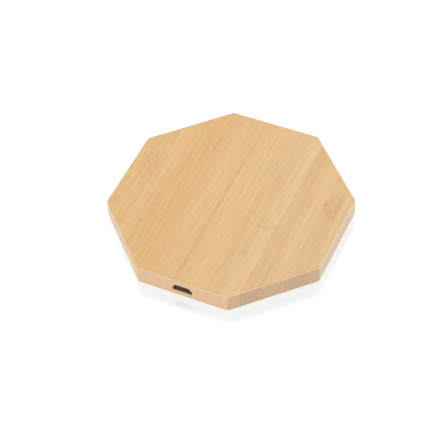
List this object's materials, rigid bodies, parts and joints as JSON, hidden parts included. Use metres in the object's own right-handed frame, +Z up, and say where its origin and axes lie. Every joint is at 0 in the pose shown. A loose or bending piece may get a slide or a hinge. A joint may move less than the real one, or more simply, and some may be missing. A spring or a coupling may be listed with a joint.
{
  "type": "wireless charging pad",
  "caption": "Flat octagonal wireless charging pad in laminated bamboo, with a Micro-B power socket in one side and an induction coil, board and screwed cover inside.",
  "frame": {"origin": "on the surface the feet stand on, under the middle of the octagon", "axes": "+Z up out of the charging face; -Y out of the side with the power socket; the wood grain runs along Y"},
  "size_m": [0.1, 0.1, 0.0097],
  "materials": {
    "bamboo": "oiled satin, laminated strips",
    "cover_plastic": "fine moulded texture",
    "foot_silicone": "matt",
    "screw_steel": "black zinc",
    "litz_wire": "silk-served copper strands",
    "ferrite": "sintered, dull",
    "glue": "thin film",
    "tape": "double-sided tape",
    "foam": "closed-cell foam",
    "epoxy_bead": "dipped epoxy",
    "insulated_lead": "sleeved wire",
    "board_laminate": "solder mask over glass laminate",
    "solder": "tin solder",
    "socket_shell": "black nickel plated",
    "socket_insulator": "moulded",
    "contact_gold": "gold flash",
    "chip_epoxy": "moulded epoxy",
    "tin_leads": "tin plated",
    "chip_ceramic": "fired, dull",
    "resistor_ceramic": "glazed top"
  },
  "bodies": {
    "root": {"bamboo_body": "bamboo", "bottom_cover": "cover_plastic", "foot_1": "foot_silicone", "foot_2": "foot_silicone", "foot_3": "foot_silicone", "foot_4": "foot_silicone", "cover_screws": "screw_steel", "transmitter_coil": "litz_wire", "ferrite_disc": "ferrite", "coil_glue_film": "glue", "coil_tape": "tape", "board_tape": "tape", "foam_pad": "foam", "thermistor_bead": "epoxy_bead", "thermistor_leads": "insulated_lead", "circuit_board": "board_laminate", "solder_joints": "solder", "usb_shell": "socket_shell", "usb_insulator": "socket_insulator", "usb_contacts": "contact_gold", "controller_chip": "chip_epoxy", "bridge_packages": "chip_epoxy", "controller_pads": "tin_leads", "bridge_leads": "tin_leads", "chip_terminals": "tin_leads", "resonant_capacitors": "chip_ceramic", "input_capacitors": "chip_ceramic", "small_capacitors": "chip_ceramic", "sense_resistor": "resistor_ceramic", "small_resistors": "resistor_ceramic"}
  },
  "joints": []
}
